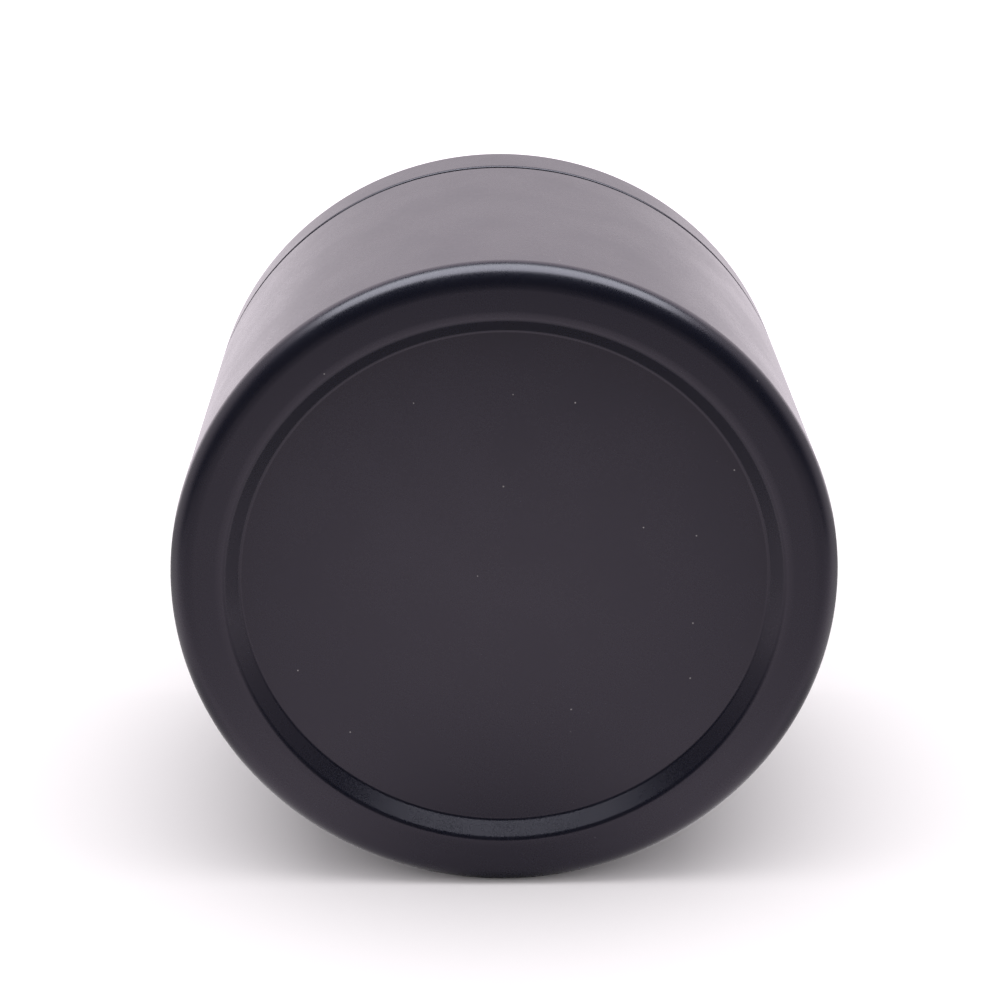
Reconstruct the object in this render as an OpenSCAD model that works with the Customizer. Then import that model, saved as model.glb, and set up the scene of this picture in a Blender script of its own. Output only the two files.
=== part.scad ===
// Round candle tin: a drawn sheet metal body with a recessed base and a slip lid that sits flush with its wall.
// The origin is the centre of the standing ring's plane, and +Z runs up the tin's axis towards the lid.
// Each piece is one sheet: its section is a path of radius and height points for the outer skin, closed by
// the same path drawn one sheet thickness inside, and turned about Z.

/* [Tin] */
// Outer diameter of the body and of the lid
tin_d = 77; // [60:0.5:100]
// Height of the closed tin, from the standing ring to the top of the lid
tin_h = 56; // [40:0.5:90]
// Thickness of the sheet metal
sheet = 0.3; // [0.25:0.05:0.35]

/* [Ends] */
// Depth of the recess under the base
base_recess = 1.9; // [1.2:0.1:3]
// Radius of the corner between the base and the side wall
base_corner_r = 2.4; // [1.8:0.1:3]
// Depth of the label panel on top of the lid
lid_recess = 0.9; // [0.8:0.1:1.4]
// Radius of the corner between the lid's top and its skirt
lid_corner_r = 1.6; // [1.2:0.1:2.4]
// Distance from the side wall to the inner edge of the flat rings on the base and the lid
ring_inset = 5.2; // [4.5:0.1:7]
// Slope of the recess walls, from the base plane
recess_slope = 47; // [45:1:65]

/* [Lid and rim] */
// Height of the lid, from the edge of its skirt to its top
lid_h = 8.4; // [7:0.1:12]
// Height of the hem that is folded up inside the skirt's edge
hem_h = 1.6; // [1.2:0.1:2.5]
// Radial gap between the rolled rim and the hem that slides over it
slip_gap = 0.15; // [0.12:0.01:0.25]
// Gap between the top of the side wall and the edge of the lid's skirt
shoulder_gap = 1.2; // [0.8:0.1:1.5]
// Outer radius of the rolled rim's section
rim_r = 0.65; // [0.6:0.05:0.8]

/* [Hidden] */
$fn = 128;
coat_colour = [0.14, 0.13, 0.15];
tin_r = tin_d / 2;

// Finest turn of an arc between two points of a path, in degrees
arc_step = 7.5;

// Recessed ends: foot, sloped wall, lip, slightly crowned ring and corner
crown_r = 7;
crown_angle = 6;
lip_r = 0.95;
foot_r = 0.55;
ring_in = tin_r - ring_inset;

// Shoulder and neck that the lid slips over
shoulder_r = 0.6;
shoulder_angle = 60;
throat_r = 0.5;
wall_top = tin_h - lid_h - shoulder_gap;
neck_r = tin_r - 2 * sheet - slip_gap - 2 * rim_r + sheet;
slope_run = tin_r - neck_r - (shoulder_r + throat_r) * (1 - cos(shoulder_angle));
neck_z = wall_top + (shoulder_r + throat_r) * sin(shoulder_angle) + slope_run / tan(shoulder_angle);

// Rolled rim: the sheet turns out and down, and its edge stops short of the neck
rim_headroom = 0.15;
rim_turn = 300;
rim_centre = [neck_r - sheet + rim_r, tin_h - sheet - rim_headroom - rim_r];

function at(centre, r, a) = centre + r * [cos(a), sin(a)];

// Points of an arc, from one direction to another
function arc(centre, r, from, to) =
    let (n = max(2, ceil(abs(to - from) / arc_step)))
    [for (i = [0:n]) at(centre, r, from + (to - from) * i / n)];

function reversed(path) = [for (i = [len(path) - 1:-1:0]) path[i]];

// Recessed end, from the axis to the start of the side wall, drawn a distance inside the outer skin
function end_path(inside, recess, corner_r) =
    let (
        ring_out = tin_r - corner_r - (crown_r - corner_r) * sin(crown_angle),
        crown_in = [ring_in, crown_r],
        crown_out = [ring_out, crown_r],
        lip = at(crown_in, crown_r - lip_r, -90 - crown_angle),
        corner = at(crown_out, crown_r - corner_r, -90 + crown_angle),
        wall_low = at(lip, lip_r, -90 - recess_slope),
        wall_rise = recess - foot_r * (1 - cos(recess_slope)) - wall_low[1],
        panel_r = wall_low[0] - wall_rise / tan(recess_slope) - foot_r * sin(recess_slope),
        foot = [panel_r, recess - foot_r]
    )
    concat(
        [[0, recess + inside]],
        arc(foot, foot_r + inside, 90, 90 - recess_slope),
        arc(lip, lip_r - inside, -90 - recess_slope, -90 - crown_angle),
        [at(crown_in, crown_r - inside, -90 - crown_angle / 2), [ring_in, inside]],
        [[ring_out, inside], at(crown_out, crown_r - inside, -90 + crown_angle / 2)],
        arc(corner, corner_r - inside, -90 + crown_angle, 0)
    );

// Shoulder, neck and rolled rim, drawn a distance inside the outer skin
function neck_path(inside) =
    let (
        shoulder = [tin_r - shoulder_r, wall_top],
        throat = [neck_r + throat_r, neck_z]
    )
    concat(
        arc(shoulder, shoulder_r - inside, 0, shoulder_angle),
        arc(throat, throat_r + inside, 180 + shoulder_angle, 180),
        arc(rim_centre, rim_r - sheet + inside, 180, 180 - rim_turn)
    );

module tin_body() {
    color(coat_colour)
    rotate_extrude()
    polygon(concat(
        end_path(0, base_recess, base_corner_r), neck_path(0),
        reversed(neck_path(sheet)), reversed(end_path(sheet, base_recess, base_corner_r))
    ));
}

// Lid, drawn with its top down: the skirt's edge is folded flat against its own inner skin
module lid() {
    fold = [tin_r - sheet, lid_h - sheet];
    color(coat_colour)
    translate([0, 0, tin_h])
    mirror([0, 0, 1])
    rotate_extrude()
    polygon(concat(
        end_path(0, lid_recess, lid_corner_r), arc(fold, sheet, 0, 180),
        [[tin_r - 2 * sheet, lid_h - hem_h], [tin_r - sheet, lid_h - hem_h]],
        reversed(end_path(sheet, lid_recess, lid_corner_r))
    ));
}

tin_body();
lid();
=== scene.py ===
import math

import bpy
from mathutils import Matrix, Vector


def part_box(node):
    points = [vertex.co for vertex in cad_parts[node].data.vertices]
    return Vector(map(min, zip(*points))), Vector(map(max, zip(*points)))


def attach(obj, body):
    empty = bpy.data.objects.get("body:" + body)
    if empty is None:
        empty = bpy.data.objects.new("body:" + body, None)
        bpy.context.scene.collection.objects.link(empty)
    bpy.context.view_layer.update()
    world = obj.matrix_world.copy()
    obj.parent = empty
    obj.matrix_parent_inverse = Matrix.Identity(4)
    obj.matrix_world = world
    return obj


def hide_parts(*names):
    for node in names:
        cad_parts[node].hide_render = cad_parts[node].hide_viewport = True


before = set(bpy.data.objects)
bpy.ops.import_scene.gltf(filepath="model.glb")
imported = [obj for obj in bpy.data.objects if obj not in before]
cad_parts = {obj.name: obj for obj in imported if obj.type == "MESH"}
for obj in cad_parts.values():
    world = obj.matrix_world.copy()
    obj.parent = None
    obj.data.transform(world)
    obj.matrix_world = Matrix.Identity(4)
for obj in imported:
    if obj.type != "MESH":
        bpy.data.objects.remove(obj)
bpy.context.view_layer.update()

# Round candle tin: a seamless body with a recessed base, and a slip lid. The part stands on its base, with +Z
# towards the lid. For the picture it lies on its side, so the table is the plane that touches its +Y side, and
# the light comes from -Y. Sizes are in millimetres until a mesh, a light or a node tree is made.

MM = 0.001
scene = bpy.context.scene

# Overall sizes, from the frame
BODY_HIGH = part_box("tin_body")[1]
LID_LOW, LID_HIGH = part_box("lid")
TIN_R = BODY_HIGH.x / MM
TIN_H = LID_HIGH.z / MM
LID_H = (LID_HIGH.z - LID_LOW.z) / MM
RIM_TOP = BODY_HIGH.z / MM

# Sizes of the section, the same as in part.scad: the sheet and the two recessed ends
SHEET = 0.3
BASE_RECESS = 1.9
BASE_CORNER_R = 2.4
LID_RECESS = 0.9
LID_CORNER_R = 1.6
RING_INSET = 5.2
RECESS_SLOPE = 47
CROWN_R = 7.0
CROWN_ANGLE = 6
LIP_R = 0.95
FOOT_R = 0.55

# The lid's hem, and the body's shoulder, throat and rolled rim
HEM_H = 1.6
SLIP_GAP = 0.15
SHOULDER_GAP = 1.2
SHOULDER_R = 0.6
SHOULDER_ANGLE = 60
THROAT_R = 0.5
RIM_R = 0.65
RIM_TURN = 300

# Fineness of the turned meshes: steps round the axis, degrees per step of an arc, and longest straight span
SEGMENTS = 240
ARC_STEP = 5
LONGEST_SPAN = 5.0


# ---------------------------------------------------------------- sections and turned meshes

def point_at(centre, r, angle):
    a = math.radians(angle)
    return (centre[0] + r * math.cos(a), centre[1] + r * math.sin(a))


def arc(centre, r, start, end, hollow=False):
    """Points of an arc with the direction the sheet's outer skin faces. A hollow arc faces its own centre."""
    n = max(2, math.ceil(abs(end - start) / ARC_STEP))
    turn = 180 if hollow else 0
    angles = [start + (end - start) * i / n for i in range(n + 1)]
    return [(*point_at(centre, r, a), a + turn) for a in angles]


def end_path(inside, recess, corner_r):
    """A recessed end, from the axis to the start of the side wall, drawn a distance inside the outer skin."""
    ring_out = TIN_R - corner_r - (CROWN_R - corner_r) * math.sin(math.radians(CROWN_ANGLE))
    crown_in = (TIN_R - RING_INSET, CROWN_R)
    crown_out = (ring_out, CROWN_R)
    lip = point_at(crown_in, CROWN_R - LIP_R, -90 - CROWN_ANGLE)
    corner = point_at(crown_out, CROWN_R - corner_r, -90 + CROWN_ANGLE)
    wall_low = point_at(lip, LIP_R, -90 - RECESS_SLOPE)
    slope = math.radians(RECESS_SLOPE)
    wall_rise = recess - FOOT_R * (1 - math.cos(slope)) - wall_low[1]
    panel_r = wall_low[0] - wall_rise / math.tan(slope) - FOOT_R * math.sin(slope)
    foot = (panel_r, recess - FOOT_R)
    return [
        (0, recess + inside, -90),
        *arc(foot, FOOT_R + inside, 90, 90 - RECESS_SLOPE, hollow=True),
        *arc(lip, LIP_R - inside, -90 - RECESS_SLOPE, -90 - CROWN_ANGLE),
        *arc(crown_in, CROWN_R - inside, -90 - CROWN_ANGLE, -90)[1:],
        *arc(crown_out, CROWN_R - inside, -90, -90 + CROWN_ANGLE)[:-1],
        *arc(corner, corner_r - inside, -90 + CROWN_ANGLE, 0),
    ]


def neck_path(inside):
    """Shoulder, neck and rolled rim of the body, drawn a distance inside the outer skin."""
    wall_top = TIN_H - LID_H - SHOULDER_GAP
    neck_r = TIN_R - SHEET - SLIP_GAP - 2 * RIM_R
    slope = math.radians(SHOULDER_ANGLE)
    bends = SHOULDER_R + THROAT_R
    run = TIN_R - neck_r - bends * (1 - math.cos(slope))
    neck_z = wall_top + bends * math.sin(slope) + run / math.tan(slope)
    rim = (neck_r - SHEET + RIM_R, RIM_TOP - RIM_R)
    return [
        *arc((TIN_R - SHOULDER_R, wall_top), SHOULDER_R - inside, 0, SHOULDER_ANGLE),
        *arc((neck_r + THROAT_R, neck_z), THROAT_R + inside, 180 + SHOULDER_ANGLE, 180, hollow=True),
        *arc(rim, RIM_R - SHEET + inside, 180, 180 - RIM_TURN, hollow=True),
    ]


def hem_path():
    """Fold at the skirt's edge and the hem that lies inside the skirt, on the coated side of the sheet."""
    fold = (TIN_R - SHEET, LID_H - SHEET)
    return [*arc(fold, SHEET, 0, 180), (TIN_R - 2 * SHEET, LID_H - HEM_H, 180)]


def back(path):
    """The same skin seen from the other side of the sheet, run the other way."""
    return [(r, z, a + 180) for r, z, a in reversed(path)]


def spanned(run):
    """A run of section points with long straight stretches cut into even spans."""
    out = [run[0]]
    for (r0, z0, a0), (r1, z1, a1) in zip(run, run[1:]):
        cuts = math.ceil(math.hypot(r1 - r0, z1 - z0) / LONGEST_SPAN)
        for i in range(1, cuts + 1):
            t = i / cuts
            out.append((r0 + (r1 - r0) * t, z0 + (z1 - z0) * t, a0 if i < cuts else a1))
    return out


def turned(name, runs, top=None):
    """A closed mesh turned about Z from runs of section points, each run with its own material index.

    The normals are the section's own. With top given, the section is drawn down from that height."""
    rings, faces, normals, indices = [], [], [], []

    def ring(r, z):
        key = (round(r, 5), round(z, 5))
        if key not in rings:
            rings.append(key)
        return rings.index(key)

    flip = -1 if top is not None else 1
    spans = []
    for material, run in runs:
        points = spanned(run)
        for p, q in zip(points, points[1:]):
            spans.append((ring(*p[:2]), p[2], ring(*q[:2]), q[2], material))

    verts, first = [], []
    for r, z in rings:
        first.append(len(verts))
        height = z if top is None else top - z
        for s in range(SEGMENTS if r > 0 else 1):
            turn = 2 * math.pi * s / SEGMENTS
            verts.append((r * math.cos(turn) * MM, r * math.sin(turn) * MM, height * MM))

    def corner(k, s, angle):
        turn = 2 * math.pi * s / SEGMENTS
        a = math.radians(angle)
        out = math.cos(a)
        vert = first[k] + (s % SEGMENTS if rings[k][0] > 0 else 0)
        return vert, (out * math.cos(turn), out * math.sin(turn), flip * math.sin(a))

    for k0, a0, k1, a1, material in spans:
        for s in range(SEGMENTS):
            loop = [corner(k0, s, a0), corner(k0, s + 1, a0), corner(k1, s + 1, a1), corner(k1, s, a1)]
            if rings[k0][0] == 0:
                loop.pop(1)
            if rings[k1][0] == 0:
                loop.pop(2)
            if flip < 0:
                loop.reverse()
            faces.append([v for v, _ in loop])
            normals.extend(n for _, n in loop)
            indices.append(material)

    mesh = bpy.data.meshes.new(name)
    mesh.from_pydata(verts, [], faces)
    mesh.polygons.foreach_set("material_index", indices)
    mesh.shade_smooth()
    mesh.normals_split_custom_set(normals)
    piece = bpy.data.objects.new(name, mesh)
    scene.collection.objects.link(piece)
    return piece


# ---------------------------------------------------------------- materials

class Nodes:
    """Short calls for building one material's nodes. Sizes are millimetres in the object's own coordinates."""

    def __init__(self, name):
        self.material = bpy.data.materials.new(name)
        self.material.use_nodes = True
        self.tree = self.material.node_tree
        self.shader = self.tree.nodes["Principled BSDF"]
        self.output = self.tree.nodes["Material Output"]
        self.where = self.tree.nodes.new("ShaderNodeTexCoord").outputs["Object"]

    def link(self, source, target):
        self.tree.links.new(source, target)

    def put(self, value, socket):
        if isinstance(value, bpy.types.NodeSocket):
            self.link(value, socket)
        else:
            socket.default_value = value

    def math(self, operation, a, b, c=0.0):
        node = self.tree.nodes.new("ShaderNodeMath")
        node.operation = operation
        for value, socket in zip((a, b, c), node.inputs):
            self.put(value, socket)
        return node.outputs[0]

    def noise(self, size, detail, stretch=(1, 1, 1)):
        """Noise from 0 to 1 whose features are about this size."""
        place = self.tree.nodes.new("ShaderNodeMapping")
        place.inputs["Scale"].default_value = [s / (size * MM) for s in stretch]
        self.link(self.where, place.inputs["Vector"])
        node = self.tree.nodes.new("ShaderNodeTexNoise")
        node.inputs["Scale"].default_value = 1.0
        node.inputs["Detail"].default_value = detail
        self.link(place.outputs[0], node.inputs["Vector"])
        return node.outputs["Fac"]

    def patch(self, centre, radii, *change):
        """A value that changes as the ramp says, with the distance from a centre as a share of three radii."""
        return self.ramp(self.reach(centre, radii), *change)

    def reach(self, centre, radii):
        """Distance from a centre, as a share of three radii."""
        node = self.tree.nodes.new("ShaderNodeMapping")
        node.vector_type = "TEXTURE"
        node.inputs["Location"].default_value = [c * MM for c in centre]
        node.inputs["Scale"].default_value = [r * MM for r in radii]
        self.link(self.where, node.inputs["Vector"])
        length = self.tree.nodes.new("ShaderNodeVectorMath")
        length.operation = "LENGTH"
        self.link(node.outputs[0], length.inputs[0])
        return length.outputs["Value"]

    def axis(self, name):
        """One of the object's own coordinates, in millimetres."""
        node = self.tree.nodes.new("ShaderNodeSeparateXYZ")
        self.link(self.where, node.inputs[0])
        return self.math("DIVIDE", node.outputs[name], MM)

    def cells(self, size):
        """Distance to the nearest of scattered points, in cells of this size, and a random colour per cell."""
        place = self.tree.nodes.new("ShaderNodeMapping")
        place.inputs["Scale"].default_value = [1 / (size * MM)] * 3
        self.link(self.where, place.inputs["Vector"])
        node = self.tree.nodes.new("ShaderNodeTexVoronoi")
        node.inputs["Scale"].default_value = 1.0
        self.link(place.outputs[0], node.inputs["Vector"])
        return node.outputs["Distance"], node.outputs["Color"]

    def ramp(self, value, low, high, to_low=0.0, to_high=1.0):
        """Smooth change from one value to another while the input goes from low to high."""
        node = self.tree.nodes.new("ShaderNodeMapRange")
        node.interpolation_type = "SMOOTHSTEP"
        for socket, number in zip(list(node.inputs)[1:5], (low, high, to_low, to_high)):
            socket.default_value = number
        self.link(value, node.inputs[0])
        return node.outputs[0]

    def mix(self, factor, a, b):
        """Mix of two colours."""
        node = self.tree.nodes.new("ShaderNodeMix")
        node.data_type = "RGBA"
        colours = [socket for socket in node.inputs if socket.type == "RGBA"]
        for value, socket in zip((factor, a, b), (node.inputs[0], *colours)):
            self.put(value, socket)
        return next(socket for socket in node.outputs if socket.type == "RGBA")

    def bump(self, height, depth):
        """Gives the shader the normals of a height that goes from 0 to 1 over this depth."""
        node = self.tree.nodes.new("ShaderNodeBump")
        node.inputs["Strength"].default_value = 1.0
        node.inputs["Distance"].default_value = depth * MM
        self.link(height, node.inputs["Height"])
        self.link(node.outputs[0], self.shader.inputs["Normal"])


def rgb(r, g, b):
    return (r, g, b, 1.0)


# The coating: its grain, its slow patches of gloss, and dust specks in a few of many small cells
GRAIN_SIZE = 0.35
GRAIN_DEPTH = 0.0015
GRAIN_ROUGHNESS = 0.015
GLOSS_PATCH = 9.0
COAT_ROUGHNESS = (0.26, 0.30)
COAT_TONES = (rgb(0.0026, 0.0034, 0.0090), rgb(0.0034, 0.0042, 0.0105))
COAT_IOR = 1.6
COAT_SHEEN = rgb(1.0, 0.87, 1.0)
SPECK_CELL = 1.0
SPECK_EDGE = (0.11, 0.07)
SPECK_RARITY = (0.89, 0.9)
DUST = rgb(0.16, 0.15, 0.15)

# The bare tinplate: its slow patches, and its draw marks, which are long along the axis
PLATE_PATCH = 12.0
PLATE_TONES = (rgb(0.62, 0.60, 0.57), rgb(0.70, 0.685, 0.66))
PLATE_ROUGHNESS = (0.27, 0.34)
DRAW_MARK = 0.5
DRAW_STRETCH = (1, 1, 0.04)
DRAW_DEPTH = 0.0015


def coat_material():
    """Satin black coating: fine grain, slow changes of gloss, and a few pale specks of dust."""
    n = Nodes("satin_black_coat")
    grain = n.noise(GRAIN_SIZE, detail=2.0)
    drift = n.noise(GLOSS_PATCH, detail=3.0)
    distance, chance = n.cells(SPECK_CELL)
    speck = n.math("MULTIPLY", n.ramp(distance, *SPECK_EDGE), n.ramp(chance, *SPECK_RARITY))
    tone = n.mix(drift, *COAT_TONES)
    n.link(n.mix(speck, tone, DUST), n.shader.inputs["Base Color"])
    gloss = n.ramp(drift, 0.25, 0.75, *COAT_ROUGHNESS)
    fine = n.ramp(grain, 0.3, 0.7, -GRAIN_ROUGHNESS, GRAIN_ROUGHNESS)
    n.link(n.math("ADD", gloss, fine), n.shader.inputs["Roughness"])
    n.shader.inputs["IOR"].default_value = COAT_IOR
    n.shader.inputs["Specular Tint"].default_value = COAT_SHEEN
    n.bump(grain, GRAIN_DEPTH)
    return n.material


def tinplate_material():
    """Bare tinplate: bright, softly brushed metal with faint draw marks along the axis."""
    n = Nodes("tinplate")
    drift = n.noise(PLATE_PATCH, detail=4.0)
    draw = n.noise(DRAW_MARK, detail=3.0, stretch=DRAW_STRETCH)
    n.link(n.mix(drift, *PLATE_TONES), n.shader.inputs["Base Color"])
    n.shader.inputs["Metallic"].default_value = 1.0
    n.link(n.ramp(draw, 0.3, 0.7, *PLATE_ROUGHNESS), n.shader.inputs["Roughness"])
    n.bump(draw, DRAW_DEPTH)
    return n.material


# The two materials, by their index in each piece
COAT, TINPLATE = 0, 1
coat = coat_material()
tinplate = tinplate_material()


# ---------------------------------------------------------------- the tin

def tin_body():
    outside = end_path(0, BASE_RECESS, BASE_CORNER_R) + neck_path(0)
    inside = end_path(SHEET, BASE_RECESS, BASE_CORNER_R) + neck_path(SHEET)
    edge_turn = outside[-1][2] - 90
    edge = [(*outside[-1][:2], edge_turn), (*inside[-1][:2], edge_turn)]
    return turned("tin_body_shell", [(COAT, outside), (TINPLATE, edge), (TINPLATE, back(inside))])


def lid():
    outside = end_path(0, LID_RECESS, LID_CORNER_R) + hem_path()
    inside = end_path(SHEET, LID_RECESS, LID_CORNER_R)
    hem_end = outside[-1]
    wall = (TIN_R - SHEET, hem_end[1])
    edge = [(*hem_end[:2], -90), (*wall, -90)]
    skin = [(*wall, 180), *back(inside)]
    return turned("lid_shell", [(COAT, outside), (TINPLATE, edge), (TINPLATE, skin)], top=TIN_H)


for piece, body, node, slot in (
    (tin_body(), "tin", "tin_body", "body_coat"),
    (lid(), "lid", "lid", "lid_coat"),
):
    piece.data.materials.append(coat)
    piece.data.materials.append(tinplate)
    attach(piece, body)
    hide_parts(node)


# ---------------------------------------------------------------- stage, light and camera

MATT_ROUGHNESS = 0.9
MATT_SPECULAR = 0.1


def seen_by(obj, *rays):
    """Says which rays meet a stage piece or a light: camera, diffuse or glossy. None of them casts a shadow."""
    obj.visible_camera = "camera" in rays
    obj.visible_diffuse = "diffuse" in rays
    obj.visible_glossy = "glossy" in rays
    obj.visible_shadow = False


def one_sided(n):
    """Lets a stage material show only on the side it faces, so that no view from behind it is blocked."""
    clear = n.tree.nodes.new("ShaderNodeBsdfTransparent")
    choose = n.tree.nodes.new("ShaderNodeMixShader")
    sides = n.tree.nodes.new("ShaderNodeNewGeometry")
    n.link(sides.outputs["Backfacing"], choose.inputs[0])
    n.link(n.shader.outputs[0], choose.inputs[1])
    n.link(clear.outputs[0], choose.inputs[2])
    n.link(choose.outputs[0], n.output.inputs["Surface"])
    return n.material


def matt(name, colour):
    """A matt stage material."""
    n = Nodes(name)
    n.shader.inputs["Base Color"].default_value = colour
    n.shader.inputs["Roughness"].default_value = MATT_ROUGHNESS
    n.shader.inputs["Specular IOR Level"].default_value = MATT_SPECULAR
    return one_sided(n)


def glowing(name, colour, build):
    """A stage material that only shines, as strongly as the build function's result."""
    n = Nodes(name)
    n.put(build(n), n.shader.inputs["Emission Strength"])
    n.shader.inputs["Emission Color"].default_value = colour
    n.shader.inputs["Base Color"].default_value = rgb(0, 0, 0)
    n.shader.inputs["Specular IOR Level"].default_value = 0.0
    return one_sided(n)


def panel(name, centre, across, along, material):
    """A flat stage panel, from its centre and two sides. It faces along the cross product of the sides."""
    middle, a, b = Vector(centre) * MM, Vector(across) * MM / 2, Vector(along) * MM / 2
    mesh = bpy.data.meshes.new(name)
    mesh.from_pydata([middle - a - b, middle + a - b, middle + a + b, middle - a + b], [], [(0, 1, 2, 3)])
    mesh.materials.append(material)
    obj = bpy.data.objects.new(name, mesh)
    scene.collection.objects.link(obj)
    return obj


def softbox(name, centre, sides, radiance, colour=(1.0, 1.0, 1.0)):
    """A soft light over the lying tin, which faces the table and shines with this radiance."""
    light = bpy.data.lights.new(name, "AREA")
    light.shape = "RECTANGLE"
    light.size, light.size_y = (side * MM for side in sides)
    light.energy = radiance * math.pi * light.size * light.size_y
    light.color = colour
    obj = bpy.data.objects.new(name, light)
    obj.matrix_world = Matrix.Translation(Vector(centre) * MM) @ Matrix.Rotation(math.radians(90), 4, "X")
    scene.collection.objects.link(obj)
    return obj


# The lying tin is in a small white light tent, open at the front. What lights the table and what the glossy
# coating mirrors are laid out apart: the table that the coating mirrors reaches far in front of the part in
# view, and is dimmer there.
WIDE = 2400
TABLE_FRONT = -60
TABLE_BACK = 1200
TABLE_WHITE = rgb(0.715, 0.685, 0.705)
TABLE_TINT = rgb(1.0, 0.97, 1.0)
FLOOR_SIDES = (900, 600)
FLOOR_Z = -0.2
FLOOR_WHITE = rgb(0.75, 0.74, 0.735)
TENT_FRONT = -130
TENT_BACK = 150
TENT_TOP = 235
TENT_SIDE = 200
BACKDROP_TINT = rgb(1.0, 0.92, 0.99)

# The lamp, and the gleam that stands for it in the coating. A ray ends at the first of them that it meets,
# even at one that it can't see, so the lamp lies a little above the gleam.
LAMP_AT = (0, -305, -15)
LAMP_SIDES = (468, 217)
LAMP_RADIANCE = 2.7
GLEAM_AT = (-10, -300, 4.5)
GLEAM_SIDES = (530, 217)
GLEAM_RADIANCE = 5.0
GLEAM_COLOUR = (0.91, 1.05, 1.05)
CEILING_AT = (0, -301, 4.5)
CEILING_SIDES = (217, 1500)
CEILING_GLOW = 0.9
CEILING_TINT = rgb(1.0, 0.98, 1.0)
CLOTH_LIGHT = 1.25

# Glow of the mirrored table: the part that falls off along Z, over this distance from the tin's base, the part
# that stays, and the stretch in which it all ends at the front
GLOW_FALLING = 0.66
GLOW_REACH = 50
GLOW_STAYING = 0.34
GLOW_FRONT = (-420, -180)

# Rounded patches of the mirrored table, as centre, radii and ramp: a pool of light, which is added, and shades
POOL = ((0, TIN_R, -145), (50, 50, 90), 0.6, 1.3, 0.44, 0.0)
SHADES = (
    ((0, TIN_R, 5), (35, 35, 50), 0.1, 1.15, 0.35, 1.0),
    ((0, TIN_R, 30), (22, 22, 31), 0.9, 1.05, 0.05, 1.0),
    ((-60, TIN_R, 0), (25, 25, 30), 0.2, 1.2, 0.5, 1.0),
    ((60, TIN_R, 0), (25, 25, 30), 0.2, 1.2, 0.5, 1.0),
)

# Ramps of the backdrop's glow and the glow of the tent's sides
BACKDROP_LOW = (-48, -15, 0.0, 0.45)
BACKDROP_HIGH = (-60, -95, 1.13, 1.32)
BACKDROP_ACROSS = (-120, 120, 0.03, -0.03)
SIDE_RAMP = (-110, 30, 0.0, 0.75)


def table_glow(n):
    """Bright beside the tin and dimmer to the front, with a pool of light by the base, and the tin's shade."""
    away = n.math("DIVIDE", n.axis("Z"), GLOW_REACH)
    near = n.math("POWER", n.math("MULTIPLY_ADD", away, away, 1.0), -1.0)
    lit = n.math("MULTIPLY_ADD", near, GLOW_FALLING, GLOW_STAYING)
    glow = n.math("MULTIPLY_ADD", lit, n.ramp(n.axis("Z"), *GLOW_FRONT), n.patch(*POOL))
    for shade in SHADES:
        glow = n.math("MULTIPLY", glow, n.patch(*shade))
    return glow


def backdrop_glow(n):
    """Brighter low down, next to the table, and a little brighter high up and to the left."""
    low, high = n.ramp(n.axis("Y"), *BACKDROP_LOW), n.ramp(n.axis("Y"), *BACKDROP_HIGH)
    return n.math("ADD", n.math("ADD", low, high), n.ramp(n.axis("X"), *BACKDROP_ACROSS))


def side_glow(n):
    """Dim at the front edge and bright next to the backdrop."""
    return n.ramp(n.axis("Z"), *SIDE_RAMP)


def ceiling_glow(n):
    """The same all over."""
    return CEILING_GLOW


# What is in view: the table, the backdrop, and a floor under the standing ring for views of the tin upright
table = panel(
    "table", (0, TIN_R, (TABLE_FRONT + TABLE_BACK) / 2), (WIDE, 0, 0), (0, 0, TABLE_BACK - TABLE_FRONT),
    matt("table_white", TABLE_WHITE),
)
seen_by(table, "camera", "diffuse")
floor = panel(
    "floor", (0, 0, FLOOR_Z), (FLOOR_SIDES[0], 0, 0), (0, FLOOR_SIDES[1], 0),
    matt("floor_white", FLOOR_WHITE),
)
seen_by(floor, "camera")
backdrop = panel(
    "backdrop", (0, 0, TENT_BACK), (0, 2 * TENT_TOP, 0), (WIDE, 0, 0),
    glowing("backdrop_glow", BACKDROP_TINT, backdrop_glow),
)
seen_by(backdrop, "camera", "glossy")

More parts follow.
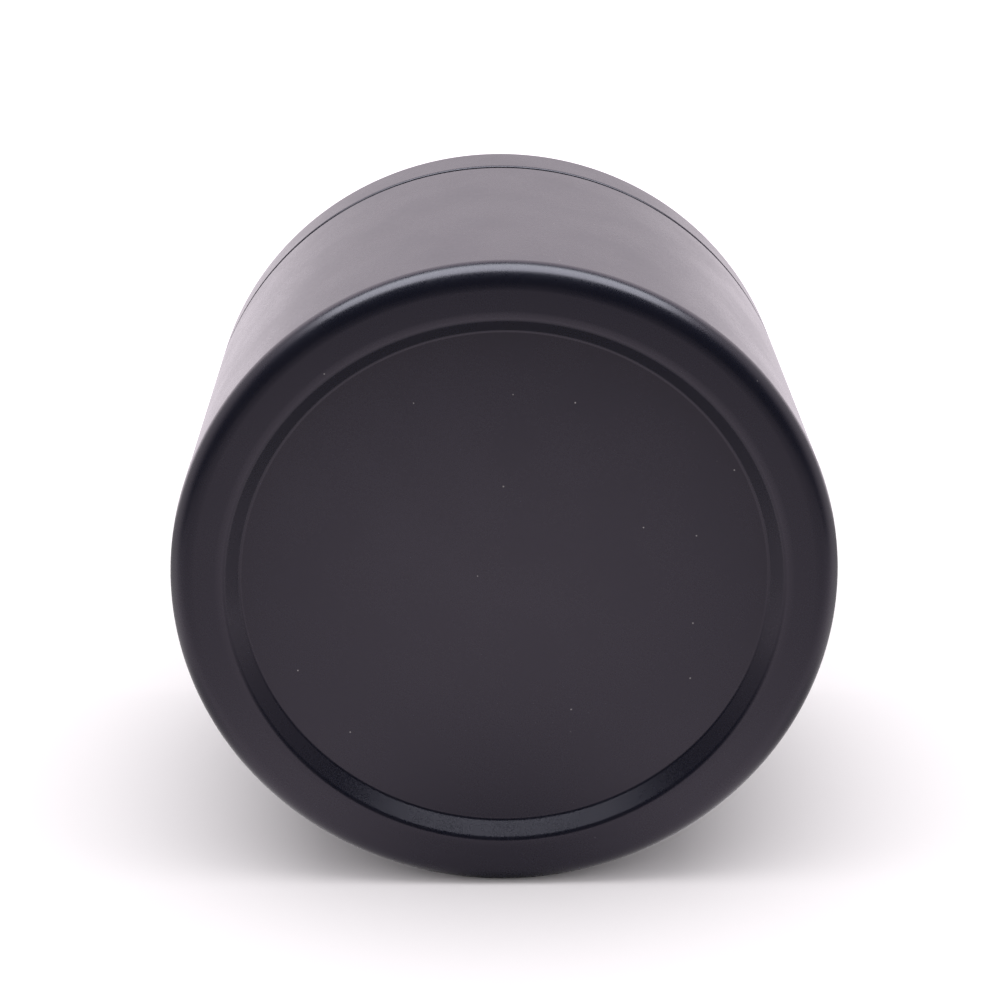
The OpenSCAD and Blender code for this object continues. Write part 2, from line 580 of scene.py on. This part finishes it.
# What only the coating mirrors: the whole table, the tent's sides, the gleam and the cloth round it
mirrored = panel(
    "mirrored_table", (0, TIN_R, 0), (WIDE, 0, 0), (0, 0, WIDE),
    glowing("table_glow", TABLE_TINT, table_glow),
)
seen_by(mirrored, "glossy")
side_deep = TENT_BACK - TENT_FRONT
for side in (-1, 1):
    wall = panel(
        "tent_side", (side * TENT_SIDE, 0, TENT_BACK - side_deep / 2), (0, 2 * TENT_SIDE, 0),
        (0, 0, -side * side_deep), glowing("tent_side_glow", TABLE_TINT, side_glow),
    )
    seen_by(wall, "glossy")
gleam = softbox("overhead_mirrored", GLEAM_AT, GLEAM_SIDES, GLEAM_RADIANCE, GLEAM_COLOUR)
seen_by(gleam, "glossy")
ceiling = panel(
    "ceiling", CEILING_AT, (0, 0, CEILING_SIDES[0]), (CEILING_SIDES[1], 0, 0),
    glowing("ceiling_glow", CEILING_TINT, ceiling_glow),
)
seen_by(ceiling, "glossy")

# What lights the table: the lamp, and the cloth of the tent, which is also the white that the camera sees
lamp = softbox("overhead", LAMP_AT, LAMP_SIDES, LAMP_RADIANCE)
seen_by(lamp, "diffuse")
world = bpy.data.worlds.new("tent_cloth")
scene.world = world
world.use_nodes = True
tree = world.node_tree
rays = tree.nodes.new("ShaderNodeLightPath")
strength = tree.nodes.new("ShaderNodeMath")
strength.operation = "MULTIPLY_ADD"
tree.links.new(rays.outputs["Is Diffuse Ray"], strength.inputs[0])
strength.inputs[1].default_value = CLOTH_LIGHT
tree.links.new(rays.outputs["Is Camera Ray"], strength.inputs[2])
tree.nodes["Background"].inputs["Color"].default_value = rgb(1.0, 1.0, 1.0)
tree.links.new(strength.outputs[0], tree.nodes["Background"].inputs["Strength"])

# The camera looks down at the base of the lying tin
CAMERA_AT = (-4.1, -108.7, -256.2)
CAMERA_TILT = 159.15
CAMERA_YAW = -0.73
LENS = 87.37
camera_data = bpy.data.cameras.new("camera")
camera_data.sensor_width = 36.0
camera_data.lens = LENS
camera_data.clip_start = 10 * MM
camera_data.clip_end = 10.0
camera = bpy.data.objects.new("camera", camera_data)
camera.matrix_world = (
    Matrix.Translation(Vector(CAMERA_AT) * MM)
    @ Matrix.Rotation(math.radians(CAMERA_TILT), 4, "X")
    @ Matrix.Rotation(math.radians(CAMERA_YAW), 4, "Y")
)
scene.collection.objects.link(camera)
scene.camera = camera
scene.view_settings.view_transform = "Standard"
